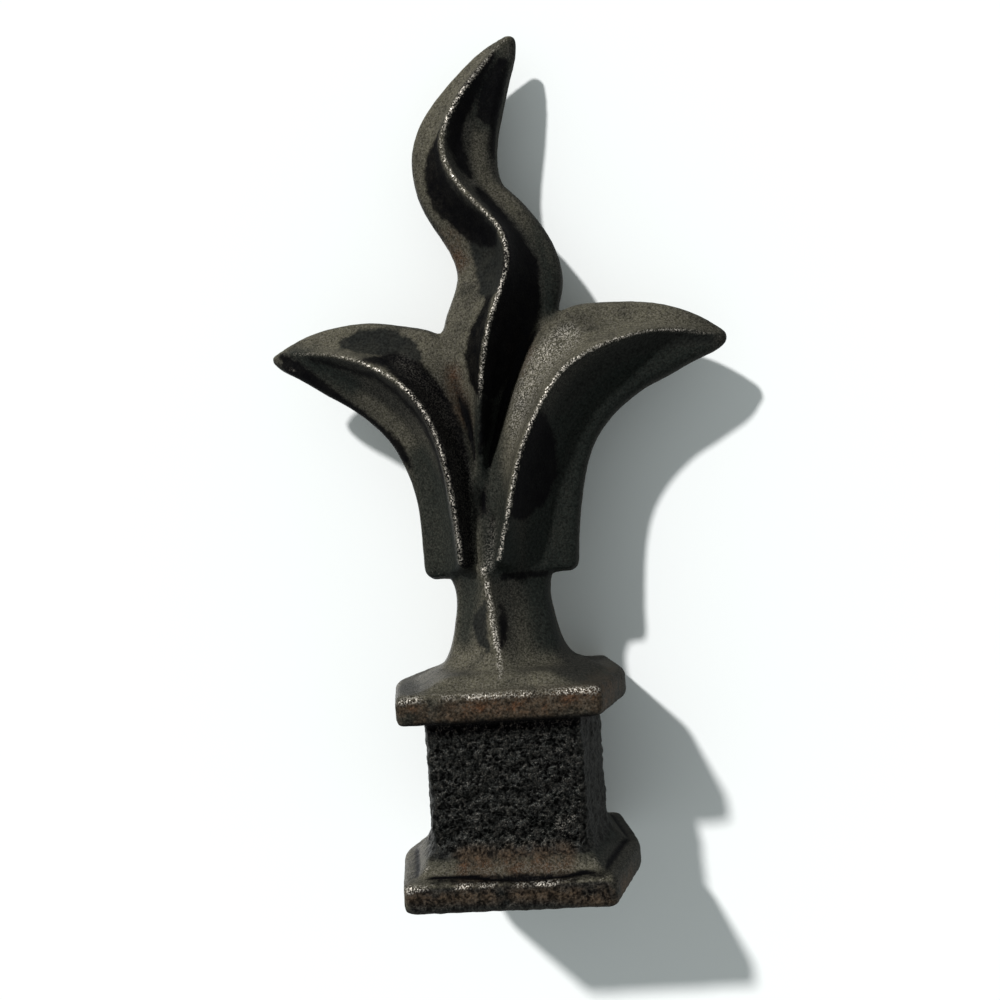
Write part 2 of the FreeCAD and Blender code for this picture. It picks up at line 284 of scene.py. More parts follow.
FRONT_STAINS_AND_SHADE = (
    # The flame's left flank, under the crest, from the top down
    Stroke(Mask.BLACK, ((-5.6, 150.4, 0.4), (-7.2, 146.8, 1.6), (-7.6, 142.6, 2.4), (-6.2, 137.9, 2.8),
                        (-3.0, 134.0, 2.6), (0.4, 130.6, 2.6), (3.6, 128.0, 1.6))),
    Stroke(Mask.FILM, ((1.8, 128.4, 3.4), (3.0, 123.6, 3.6), (3.0, 119.0, 3.0))),
    Stroke(Mask.BLACK, ((2.2, 116.0, 1.0), (-0.6, 109.5, 2.2), (-1.8, 105.1, 2.1), (-1.6, 100.6, 1.5),
                        (-0.4, 96.9, 0.6))),
    # The flame's right flank, beside the crest, its outline near the tip, and the rib below it
    # Painted shadow of the crest and painted shade on the flank turned from the key lamp, partly over a
    # dark patch
    Stroke(Mask.BLACK, ((5.7, 166.2, 0.6), (3.4, 162.6, 1.2), (0.3, 157.7, 1.6), (-2.2, 152.5, 1.4),
                        (-2.7, 148.1, 1.4), (-1.5, 143.9, 1.2), (-0.3, 141.9, 0.6))),
    # Painted shade on the outline's lip near the tip, which faces away from the key lamp
    Stroke(Mask.BLACK, ((7.4, 165.0, 1.3), (5.6, 159.4, 2.7), (4.0, 154.6, 2.2))),
    Stroke(Mask.DARK_AND_SHADE, ((8.0, 167.0, 2.4), (4.8, 158.0, 3.8), (3.4, 153.6, 2.0))),
    # The crest's painted shadow on the lower right flank
    Stroke(Mask.BLACK, ((1.2, 138.8, 0.8), (4.8, 133.8, 1.2), (7.7, 128.7, 1.6), (9.2, 123.2, 3.0),
                        (8.4, 115.9, 3.8), (6.0, 109.2, 3.6), (3.3, 103.3, 2.6), (1.1, 97.7, 1.2))),
    # Painted shade on the lower right outline, which faces away from the key lamp
    Stroke(Mask.DARK_AND_SHADE, ((12.0, 131.0, 1.0), (14.1, 121.0, 1.6), (13.6, 114.0, 2.2))),
    Stroke(Mask.DARK_AND_SHADE, ((1.0, 97.0, 2.4), (-0.4, 90.0, 3.4), (-0.6, 84.0, 3.4), (0.6, 74.0, 4.0),
                       (1.0, 65.0, 4.2))),
    Stroke(Mask.BLACK, ((0.6, 96.0, 0.9), (-0.5, 90.0, 1.0), (-1.6, 86.0, 0.4))),
    # More of the crest's painted shadow, high on the right flank
    Stroke(Mask.BLACK, ((6.4, 157.7, 0.6), (5.1, 152.0, 1.0), (4.5, 146.6, 0.8))),
    # The left leaf: a grey film on its upper flank, black towards its foot and along its outline
    Stroke(Mask.FILM, ((-28.1, 110.4, 1.4), (-24.8, 110.6, 2.6), (-20.1, 110.0, 3.2),
                       (-16.2, 108.0, 2.8), (-14.2, 106.5, 1.8))),
    # Partly the crest's painted shadow on the inner flank, towards the foot
    Stroke(Mask.BLACK, ((-22.4, 106.0, 0.8), (-18.1, 105.9, 1.8), (-14.2, 103.0, 2.7),
                        (-10.9, 97.9, 2.8), (-8.1, 91.9, 2.6), (-6.3, 84.8, 2.2), (-5.6, 77.0, 1.6),
                        (-5.4, 69.2, 1.2), (-5.4, 64.7, 1.2))),
    # A thin painted shadow under the crest
    Stroke(Mask.BLACK, ((-35.1, 107.8, 0.4), (-21.4, 102.7, 0.4), (-16.8, 98.6, 0.6), (-12.5, 93.2, 0.6),
                        (-9.6, 86.3, 0.6), (-8.6, 78.8, 0.4))),
    # Painted shade along the lower outline, whose underside turns down from the key lamp
    Stroke(Mask.BLACK, ((-43.4, 109.6, 1.2), (-38.8, 105.8, 1.9), (-34.0, 102.4, 1.2),
                        (-31.9, 100.4, 1.0), (-25.3, 95.0, 1.0), (-19.0, 88.7, 1.2),
                        (-16.8, 84.6, 0.5))),
    Stroke(Mask.DARK_AND_SHADE, ((-43.0, 110.0, 3.2), (-36.0, 107.0, 2.6), (-28.0, 102.0, 2.4))),
    Stroke(Mask.DARK_AND_SHADE, ((-14.5, 86.0, 3.0), (-12.0, 78.0, 4.8), (-11.0, 66.0, 6.0))),
    # The right leaf: an oval beside its crest, and its whole flank under the crest
    # The crest's painted shadow, partly over a dark patch
    Stroke(Mask.BLACK, ((10.9, 91.3, 1.5), (10.5, 86.7, 2.9), (9.5, 81.9, 3.7), (7.8, 77.1, 3.1),
                        (5.8, 73.9, 1.7))),
    Stroke(Mask.FILM, ((46.5, 105.9, 0.8), (41.3, 106.0, 1.4), (33.3, 105.6, 1.6), (25.6, 103.2, 1.6),
                       (18.9, 98.2, 1.6), (14.6, 93.4, 1.2))),
    # Painted shade on the flank turned from the key lamp
    Stroke(Mask.DARK_AND_SHADE, ((44.0, 104.0, 1.5), (33.0, 102.0, 4.0), (24.0, 97.0, 5.5), (17.0, 89.0, 6.0),
                       (14.0, 78.0, 6.5), (12.0, 65.0, 7.0))),
    # The neck, on both sides of its crest
    Stroke(Mask.FILM, ((-2.5, 56.4, 0.6), (-4.1, 53.0, 1.8), (-3.6, 49.8, 1.4), (-2.3, 47.6, 0.6))),
    Stroke(Mask.BLACK, ((0.5, 55.8, 0.4), (0.9, 52.6, 0.8), (0.7, 49.6, 0.8), (0.1, 47.9, 0.4))),
    Stroke(Mask.DARK_AND_SHADE, ((-6.0, 60.0, 3.0), (-7.5, 50.0, 2.2))),
    Stroke(Mask.DARK_AND_SHADE, ((7.5, 60.0, 2.8), (9.0, 49.0, 3.4))),
    # Painted shadow under the right leaf's root, a darker shoulder on the block's foot, and painted
    # shade in its groove
    Stroke(Mask.BLACK, ((1.5, 61.4, 0.7), (9.5, 61.2, 0.7))),
    # The shoulder's right end is wider: painted shadow of the block
    Stroke(Mask.DARK_AND_SHADE, ((-20.0, 9.0, 0.8), (12.0, 9.0, 0.8), (22.0, 9.0, 2.0))),
    Stroke(Mask.BLACK, ((-15.0, 6.1, 0.2), (-4.0, 5.8, 0.5), (6.0, 5.5, 0.5), (18.6, 5.9, 0.2))),
    # Painted shadow under the collar; rust on the bands, the shoulder, the leaves' roots and the flame
    Stroke(Mask.BLACK, ((-17.5, 34.0, 1.8), (17.5, 34.0, 1.6))),
    Stroke(Mask.RUST, ((-8.5, 7.6, 1.2), (9.5, 7.6, 1.2))),
    Stroke(Mask.RUST, ((-17.0, 37.4, 1.0), (20.0, 38.2, 1.0))),
    Stroke(Mask.RUST, ((-20.0, 3.4, -0.6), (8.0, 3.2, -0.6), (15.0, 2.4, 0.2), (21.0, 2.4, 0.2))),
    Stroke(Mask.DARK_AND_SHADE, ((-19.0, 38.6, 1.6), (-9.0, 38.0, 0.8), (10.0, 38.4, 0.6), (20.0, 39.6, 1.6))),
    Stroke(Mask.RUST, ((8.1, 107.3, 0.8), (7.0, 103.4, 0.8))),
    Stroke(Mask.RUST, ((-6.6, 103.0, 0.2), (-4.8, 93.0, 0.2))),
    Stroke(Mask.RUST, ((-6.0, 130.0, 0.8), (-4.2, 125.3, 0.8))),
    # Gritty skin with bright metal specks, partly painted glints: the right leaf's inner flank, the rib,
    # the left leaf beside its crest, and a spot low on the block with a pit in it
    Stroke(Mask.SHEEN, ((17.0, 107.5, 2.6), (11.6, 103.0, 3.2), (8.0, 97.0, 2.6), (6.0, 91.0, 1.2),
                        (5.0, 86.0, -0.4))),
    Stroke(Mask.SHEEN, ((0.0, 72.0, 0.2), (-1.2, 64.0, 0.6))),
    Stroke(Mask.SHEEN, ((-16.6, 105.4, 1.2), (-11.7, 100.3, 1.8), (-8.3, 92.0, 1.8),
                        (-6.3, 82.9, 1.7), (-5.6, 65.4, 1.0))),
    Stroke(Mask.SHEEN, ((9.6, 13.7, 0.3), (11.8, 15.1, 0.0))),
    Stroke(Mask.BLACK, ((11.0, 12.0, 0.5), (11.6, 11.6, 0.5))),
)
NECK_CREST = Stroke(
    Mask.CREST, ((-1.9, 60.5, 0.4), (-1.2, 53.3, 0.5), (0.1, 44.2, 0.4), (0.3, 43.0, 0.2))
)


@dataclass(frozen=True)
class CastIronFinish:
    """Sand-cast iron, weathered: painted tan light on the faces turned to the key lamp, black stained
    patches and painted shade, rubbed crests.

    Sizes and depths are in metres. A range is the pair of noise or mask values between which a
    coat sets in, a reach is the same in millimetres outside a stroke, and a share or a pair of
    shares says how much of the coat there then is.
    """

    iron: str = "#1f1f1c"
    # Painted light: the lighter tan of the faces turned towards the key lamp, in cloudy patches
    painted_lit_tan: str = "#474439"
    coarse: str = "#151615"
    film: str = "#1c1d1b"
    # Darker skin, in places painted shade and painted shadow
    dark_and_shade: str = "#161a18"
    black: str = "#020203"
    brown: str = "#372d23"
    rust: str = "#4a2d1a"
    # Painted glints: the colour of light specks that stand for highlights on the grit
    glint: str = "#847e74"
    bright: str = "#b4aea4"
    noise_roughness: float = 0.6
    lit_cloud_size: float = 9.0 * MM
    lit_cloud_range: tuple[float, float] = (0.20, 0.55)
    rust_size: float = 4.0 * MM
    rust_range: tuple[float, float] = (0.54, 0.74)
    rust_reach: tuple[float, float] = (1.0, -0.5)
    rust_share: float = 0.65
    brown_range: tuple[float, float] = (0.30, 0.60)
    brown_reach: tuple[float, float] = (3.0, 0.0)
    dark_and_shade_reach: tuple[float, float] = (2.0, -2.0)
    dark_and_shade_share: float = 0.85
    ragged_size: float = 1.3 * MM
    ragged_range: tuple[float, float] = (0.25, 0.75)
    ragged_reach: tuple[float, float] = (-0.5, 0.5)
    stain_and_shade_reach: tuple[float, float] = (0.55, -0.55)
    thin_range: tuple[float, float] = (0.38, 0.60)
    thin_shares: tuple[float, float] = (0.92, 1.0)
    sand_range: tuple[float, float] = (0.42, 0.85)
    pit_size: float = 1.0 * MM
    pit_depth: float = 0.36 * MM
    pit_bend: float = 2.5 * MM
    bends_per_pit: float = 0.7
    pit_cells: float = 0.6
    pit_lumps: float = 0.8
    lump_middle: float = 0.25
    # Painted shade in the sand's pits and painted light on its ridges, as shares of the colour
    pit_range: tuple[float, float] = (0.30, 0.60)
    pit_shades: tuple[float, float] = (0.12, 1.35)
    ridge_range: tuple[float, float] = (0.42, 0.66)
    grain_size: float = 0.5 * MM
    grain_depth: float = 0.16 * MM
    grain_depth_in_pits: float = 0.048 * MM
    grain_range: tuple[float, float] = (0.3, 0.7)
    grain_shades: tuple[float, float] = (0.4, 1.6)
    speck_size: float = 0.32 * MM
    speck_range: tuple[float, float] = (0.46, 0.62)
    glint_shares: tuple[float, float] = (0.10, 0.30)
    dark_and_shade_cover: float = 0.85
    glint_crest: tuple[float, float] = (0.0, 0.35)
    glint_share_by_crest: float = 0.45
    glint_share_on_sand: float = 0.10
    bare_crest: tuple[float, float] = (0.35, 1.0)
    streak_range: tuple[float, float] = (0.35, 0.60)
    streak_shares: tuple[float, float] = (0.45, 1.0)
    chafed_range: tuple[float, float] = (0.40, 0.62)
    chafed_share: float = 0.9
    sheen_reach: tuple[float, float] = (1.5, -1.5)
    sheen_shares: tuple[float, float] = (0.42, 0.08)
    glassy_range: tuple[float, float] = (0.80, 0.97)
    glassy_shares: tuple[float, float] = (0.20, 0.95)
    rough_skin: float = 0.66
    rough_metal: float = 0.38
    specular: float = 0.03

    def build(self) -> bpy.types.Material:
        """Makes the material.

        Returns:
            The material, which reads Object coordinates and the casting's own masks.
        """
        # Iron left as it came from the sand mould: a dark gritty skin, coarser on the block, with
        # painted glints on its grains and painted shade in its pits. Painted light gives a dull tan to
        # the faces turned to the key lamp. Black with ragged borders lies in the hollows, partly dark
        # patches and partly painted shade and painted shadow; a little rust lies low down, and speckled
        # bright metal runs along the crests and the rims, where it is partly painted glints
        material = bpy.data.materials.new("cast iron, sand cast and weathered")
        material.use_nodes = True
        tree = material.node_tree
        tree.nodes.clear()
        IronNodes(self, tree).shade()
        return material


class IronNodes:
    """The iron finish's nodes while they are put together, with what they share."""

    def __init__(self, finish: CastIronFinish, tree: bpy.types.NodeTree) -> None:
        """Adds the textures and the masks of each coat.

        Args:
            finish: the colours, sizes and shares.
            tree: the material's empty tree.
        """
        self.finish = finish
        self.tree = tree
        self.place = add_node(tree, "ShaderNodeTexCoord").outputs["Object"]
        self.masks = {
            mask: add_node(tree, "ShaderNodeAttribute", attribute_name=mask.value).outputs["Fac"]
            for mask in Mask
        }
        self.grain = self.noise(finish.grain_size, detail=2.0)
        self.specks = self.noise(finish.speck_size, detail=2.0)
        self.specks = ramp(tree, self.specks, *finish.speck_range)
        self.patchy = self.noise(finish.rust_size, detail=5.0)
        self.pits = self.sand_pits()
        # Painted light: a lighter tan in cloudy patches on the faces turned towards the key lamp
        cloudy = ramp(tree, self.noise(finish.lit_cloud_size, detail=4.0), *finish.lit_cloud_range)
        self.lit = times(tree, self.masks[Mask.PAINTED_LIT_SIDE], cloudy)
        self.film = self.stain_and_shade(Mask.FILM)
        # Black: dark patches and strokes of painted shadow, the deepest concave places, and painted
        # shade in the foot's crevice
        self.black = largest(
            tree, self.stain_and_shade(Mask.BLACK), self.masks[Mask.HOLLOW], self.masks[Mask.CREVICE]
        )
        # Darker skin, in places painted shade and painted shadow
        self.dark_and_shade = ramp(tree, self.masks[Mask.DARK_AND_SHADE], *finish.dark_and_shade_reach)
        self.dark_and_shade = times(tree, self.dark_and_shade, finish.dark_and_shade_share)
        self.pitted = ramp(tree, self.masks[Mask.COARSE], *finish.sand_range)
        self.brown = ramp(tree, self.masks[Mask.RUST], *finish.brown_reach)
        self.brown = times(tree, self.brown, ramp(tree, self.patchy, *finish.brown_range))
        self.rusty = ramp(tree, self.masks[Mask.RUST], *finish.rust_reach)
        self.rusty = times(
            tree, self.rusty, ramp(tree, self.patchy, *finish.rust_range), finish.rust_share
        )

    def noise(self, size: float, detail: float) -> bpy.types.NodeSocket:
        """Noise whose lumps are about one size.

        Args:
            size: the lumps' size in metres.
            detail: how many finer sizes are added.

        Returns:
            The noise's socket, from 0 to 1.
        """
        inputs = {"Vector": self.place, "Scale": 1 / size, "Detail": detail}
        inputs["Roughness"] = self.finish.noise_roughness
        return add_node(self.tree, "ShaderNodeTexNoise", inputs).outputs["Fac"]

    def sand_pits(self) -> bpy.types.NodeSocket:
        """Uneven pits with raised borders, as coarse sand leaves them.

        Returns:
            The relief's socket, low in a pit and high on a ridge.
        """
        tree = self.tree
        finish = self.finish
        push = add_node(
            tree, "ShaderNodeTexNoise",
            {"Vector": self.place, "Scale": finish.bends_per_pit / finish.pit_size, "Detail": 2.0},
        ).outputs["Color"]
        push = add_node(
            tree, "ShaderNodeVectorMath", {0: push, "Scale": finish.pit_bend}, operation="SCALE"
        )
        bent = add_node(
            tree, "ShaderNodeVectorMath", {0: self.place, 1: push.outputs[0]}, operation="ADD"
        )
        cells = add_node(
            tree, "ShaderNodeTexVoronoi", {"Vector": bent.outputs[0], "Scale": 1 / finish.pit_size}
        ).outputs["Distance"]
        lumps = self.noise(finish.pit_size, detail=4.0)
        lumps = combine(tree, "SUBTRACT", lumps, finish.lump_middle)
        cells = times(tree, cells, finish.pit_cells)
        return combine(tree, "ADD", cells, times(tree, lumps, finish.pit_lumps))

    def stain_and_shade(self, kind: Mask) -> bpy.types.NodeSocket:
        """The mask of one kind of stroke, with a ragged border; among the black strokes some are painted
        shade.

        Args:
            kind: the strokes' kind, whose mask holds the millimetres outside its strokes.

        Returns:
            The mask's socket, about 1 inside the strokes.
        """
        tree = self.tree
        finish = self.finish
        ragged = self.noise(finish.ragged_size, detail=4.0)
        ragged = scaled(tree, ragged, finish.ragged_range, finish.ragged_reach)
        thin = self.noise(2 * finish.ragged_size, detail=5.0)
        thin = scaled(tree, thin, finish.thin_range, finish.thin_shares)
        gap = combine(tree, "ADD", self.masks[kind], ragged)
        return times(tree, ramp(tree, gap, *finish.stain_and_shade_reach), thin)

    def coats(self) -> bpy.types.NodeSocket:
        """The iron and the coats over it, with painted shade in the sand's pits, painted light on its
        ridges and an uneven grain.

        Returns:
            The colour's socket.
        """
        tree = self.tree
        finish = self.finish
        # Painted light first: the lighter tan on the faces turned towards the key lamp
        colour = layer(tree, self.lit, linear(finish.iron), linear(finish.painted_lit_tan))
        for mask, shade in (
            (self.dark_and_shade, finish.dark_and_shade),
            (self.pitted, finish.coarse),
            (self.brown, finish.brown),
            (self.rusty, finish.rust),
            (self.film, finish.film),
            (self.black, finish.black),
        ):
            colour = layer(tree, mask, colour, linear(shade))
        # Painted shade in the sand's pits and painted light on its ridges
        peaks = scaled(tree, self.pits, finish.pit_range, finish.pit_shades)
        peaks = between(tree, self.masks[Mask.COARSE], 1.0, peaks)
        uneven = scaled(tree, self.grain, finish.grain_range, finish.grain_shades)
        uneven = times(tree, uneven, peaks)
        return add_node(
            tree, "ShaderNodeVectorMath", {0: colour, "Scale": uneven}, operation="SCALE"
        ).outputs[0]

    def glints(self) -> bpy.types.NodeSocket:
        """Painted glints: light specks painted into the colour, most on the lit side, beside the crests
        and on the sand's ridges.

        Returns:
            The specks' mask.
        """
        tree = self.tree
        finish = self.finish
        dark_and_shade_covered = times(tree, self.dark_and_shade, finish.dark_and_shade_cover)
        clean = combine(
            tree, "SUBTRACT", 1.0, largest(tree, self.black, self.film, self.pitted, dark_and_shade_covered)
        )
        # Painted glints, more of them on the faces turned towards the key lamp
        on_skin = times(tree, scaled(tree, self.lit, (0, 1), finish.glint_shares), clean)
        by_crest = ramp(tree, self.masks[Mask.CREST], *finish.glint_crest)
        by_crest = times(tree, by_crest, finish.glint_share_by_crest)
        on_sand = times(tree, self.masks[Mask.COARSE], finish.glint_share_on_sand)
        ridges = ramp(tree, self.pits, *finish.ridge_range)
        ridges = between(tree, self.masks[Mask.COARSE], 1.0, ridges)
        return times(tree, largest(tree, on_skin, by_crest, on_sand), self.specks, ridges)

    def rubbed(self) -> bpy.types.NodeSocket:
        """Bright specks of bare metal: on the crests, the rims and the gritty places; on the rims and
        the gritty places they are partly painted glints.

        Returns:
            The specks' mask.
        """
        tree = self.tree
        finish = self.finish
        on_crest = ramp(tree, self.masks[Mask.CREST], *finish.bare_crest)
        in_grit = ramp(tree, self.masks[Mask.SHEEN], *finish.sheen_reach)
        in_grit = times(tree, in_grit, scaled(tree, self.black, (0, 1), finish.sheen_shares))
        on_rim = ramp(tree, self.patchy, *finish.chafed_range)
        on_rim = times(tree, self.masks[Mask.RIM], on_rim, finish.chafed_share)
        streaks = ramp(tree, self.patchy, *finish.streak_range)
        streaks = scaled(tree, streaks, (0, 1), finish.streak_shares)
        return times(tree, largest(tree, on_crest, in_grit, on_rim), self.specks, streaks)

    def glassy(self) -> bpy.types.NodeSocket:
        """The share of glassy burnt sand, which mirrors like metal: most on the block's front.

        Returns:
            The share's socket.
        """
        tree = self.tree
        finish = self.finish
        share = scaled(tree, self.masks[Mask.COARSE], finish.glassy_range, finish.glassy_shares)
        return times(tree, share, self.pitted, combine(tree, "SUBTRACT", 1.0, self.brown))

    def relief(self) -> bpy.types.NodeSocket:
        """The bump of the grain everywhere and of the pits in coarse sand.

        Returns:
            The bumped normal's socket.
        """
        tree = self.tree
        finish = self.finish
        depths = (finish.grain_depth, finish.grain_depth_in_pits)
        fine = times(tree, self.grain, scaled(tree, self.pitted, (0, 1), depths))
        deep = times(tree, self.pits, self.masks[Mask.COARSE], finish.pit_depth)
        height = combine(tree, "ADD", fine, deep)
        return add_node(
            tree, "ShaderNodeBump", {"Strength": 1.0, "Distance": 1.0, "Height": height}
        ).outputs["Normal"]

    def shade(self) -> None:
        """Adds the shader and links it to the material's output."""
        tree = self.tree
        finish = self.finish
        # Painted glints over the coats, then the bright rubbed metal
        colour = layer(tree, self.glints(), self.coats(), linear(finish.glint))
        rubbed = self.rubbed()
        colour = layer(tree, rubbed, colour, linear(finish.bright))
        bare = largest(tree, rubbed, self.glassy())
        smoother = scaled(tree, bare, (0, 1), (finish.rough_skin, finish.rough_metal))
        shader = add_node(
            tree, "ShaderNodeBsdfPrincipled",
            {"Base Color": colour, "Metallic": bare, "Roughness": smoother, "Normal": self.relief()},
        )
        shader.inputs["Specular IOR Level"].default_value = finish.specular
        add_node(tree, "ShaderNodeOutputMaterial", {"Surface": shader.outputs[0]})


@dataclass
class CastSkin:
    """Geometry Nodes that roughen the casting's skin along its normals, as a sand mould does."""

    coarse_height: float = 1.0 * MM
    coarse_size: float = 1.9 * MM
    wave_height: float = 0.10 * MM
    wave_size: float = 6.0 * MM
    coarse_shares: tuple[float, float] = (0.06, 1.0)
    seed: int = 7

    def tree(self) -> bpy.types.NodeTree:
        """Builds the tree, with its sizes as named inputs.

        Returns:
            The node group for a Nodes modifier.
        """
        group = bpy.data.node_groups.new("cast skin", "GeometryNodeTree")
        face = group.interface
        face.new_socket("Geometry", in_out="INPUT", socket_type="NodeSocketGeometry")
        for name in ("Coarse Height", "Coarse Size", "Wave Height", "Wave Size"):
            face.new_socket(name, in_out="INPUT", socket_type="NodeSocketFloat")
        face.new_socket("Seed", in_out="INPUT", socket_type="NodeSocketInt")
        face.new_socket("Material", in_out="INPUT", socket_type="NodeSocketMaterial")
        face.new_socket("Geometry", in_out="OUTPUT", socket_type="NodeSocketGeometry")
        given = add_node(group, "NodeGroupInput").outputs
        place = add_node(group, "GeometryNodeInputPosition").outputs[0]
        normal = add_node(group, "GeometryNodeInputNormal").outputs[0]
        rough = add_node(
            group, "GeometryNodeInputNamedAttribute", {"Name": Mask.COARSE.value}, data_type="FLOAT"
        ).outputs["Attribute"]
        shares = scaled(group, rough, (0, 1), self.coarse_shares)
        coarse = self.relief(group, place, given["Seed"], given["Coarse Size"], given["Coarse Height"])
        coarse = times(group, coarse, shares)
        waves = self.relief(group, place, given["Seed"], given["Wave Size"], given["Wave Height"])
        height = combine(group, "ADD", coarse, waves)
        offset = add_node(
            group, "ShaderNodeVectorMath", {0: normal, "Scale": height}, operation="SCALE"
        ).outputs[0]
        moved = add_node(
            group, "GeometryNodeSetPosition", {"Geometry": given["Geometry"], "Offset": offset}
        )
        whole = add_node(group, "GeometryNodeRealizeInstances", {0: moved.outputs[0]})
        dressed = add_node(
            group, "GeometryNodeSetMaterial",
            {"Geometry": whole.outputs[0], "Material": given["Material"]},
        )
        add_node(group, "NodeGroupOutput", {0: dressed.outputs[0]})
        return group

    @staticmethod
    def relief(
        group: bpy.types.NodeTree,
        place: bpy.types.NodeSocket,
        seed: bpy.types.NodeSocket,
        size: bpy.types.NodeSocket,
        height: bpy.types.NodeSocket,
    ) -> bpy.types.NodeSocket:
        """Noise from -height to height whose lumps are about one size.

        Args:
            group: the tree that it goes into.
            place: the points' positions.
            seed: the seed's input.
            size: the input for the lumps' size.
            height: the input for the largest height.

        Returns:
            The relief's socket, in metres.
        """
        scale = combine(group, "DIVIDE", 1.0, size)
        noise = add_node(
            group, "ShaderNodeTexNoise", {"Vector": place, "W": seed, "Scale": scale, "Detail": 2.0},
            noise_dimensions="4D",
        ).outputs[0]
        return times(group, combine(group, "SUBTRACT", noise, 0.5), 2.0, height)

    def apply(self, piece: bpy.types.Object, material: bpy.types.Material) -> None:
        """Runs the tree on a piece and leaves it a plain mesh.

        Args:
            piece: the piece, which carries the coarse mask.
            material: the finish that the tree sets.
        """
        modifier = piece.modifiers.new("cast skin", "NODES")
        modifier.node_group = self.tree()
        values = {
            "Coarse Height": self.coarse_height, "Coarse Size": self.coarse_size,
            "Wave Height": self.wave_height, "Wave Size": self.wave_size,
            "Seed": self.seed, "Material": material,
        }
        for item in modifier.node_group.interface.items_tree:
            if item.name in values:
                modifier[item.identifier] = values[item.name]
        finish_modifiers(piece)


def finish_modifiers(piece: bpy.types.Object) -> None:
    """Turns a piece's modifiers into a plain mesh.

    Args:
        piece: the piece, which loses its modifiers.
    """
    bpy.context.view_layer.update()
    graph = bpy.context.evaluated_depsgraph_get()
    mesh = bpy.data.meshes.new_from_object(piece.evaluated_get(graph))
    piece.modifiers.clear()
    piece.data = mesh


@dataclass(frozen=True)
class WearLevels:
    """Where the coarse sand, the black in the crevice and the hollows, the painted light and the wear
    begin and end.

    Each pair says where a step is 0 and where it is 1. Levels are z in millimetres, sides are x
    in millimetres, rises are millimetres above the averaged surroundings, and facings run from
    0, sideways, to 1, to the front or the back.
    """

    above_collar: tuple[float, float] = (42.6, 44.6)
    crest_level: tuple[float, float] = (60.5, 61.5)
    crest_facing: tuple[float, float] = (0.80, 0.93)
    crest_rise: tuple[float, float] = (0.08, 0.27)
    leaf_level: tuple[float, float] = (60.0, 66.0)
    leaf_rise: float = 0.03
    rib_middle: float = -0.5
    rib_side: tuple[float, float] = (4.0, 3.0)
    rib_low: tuple[float, float] = (72.0, 75.0)
    rib_high: tuple[float, float] = (100.0, 95.0)
    right_foot_level: tuple[float, float] = (66.5, 65.0)
    right_foot_side: tuple[float, float] = (3.0, 4.0)
    neck_crest: tuple[float, float] = (0.35, -0.15)
    rim_rise: tuple[float, float] = (0.09, 0.18)
    rim_lean: tuple[float, float] = (0.10, 0.35)
    rim_facing: tuple[float, float] = (0.35, 0.6)
    # Painted shade: black in the crevice low on the foot; then black in the deepest hollows
    crevice_level: tuple[float, float] = (8.0, 7.0)
    crevice_rise: tuple[float, float] = (-0.02, -0.09)
    hollow_rise: tuple[float, float] = (-0.9, -1.6)
    block_low: tuple[float, float] = (6.9, 9.7)
    block_high: tuple[float, float] = (35.5, 33.5)
    side_sand: float = 0.78
    foot_band: tuple[float, float] = (6.5, 5.0)
    foot_sand: float = 0.90
    collar_low: tuple[float, float] = (34.5, 36.0)
    collar_high: tuple[float, float] = (41.5, 40.0)
    collar_sand: float = 0.62
    # Painted light: the direction towards the key lamp, front and back alike, and where its tan sets in
    key_lamp_toward: tuple[float, float, float] = (-0.39, 0.75, 0.54)
    painted_lit_range: tuple[float, float] = (0.40, 0.95)
    stain_and_shade_depth: float = 2.0


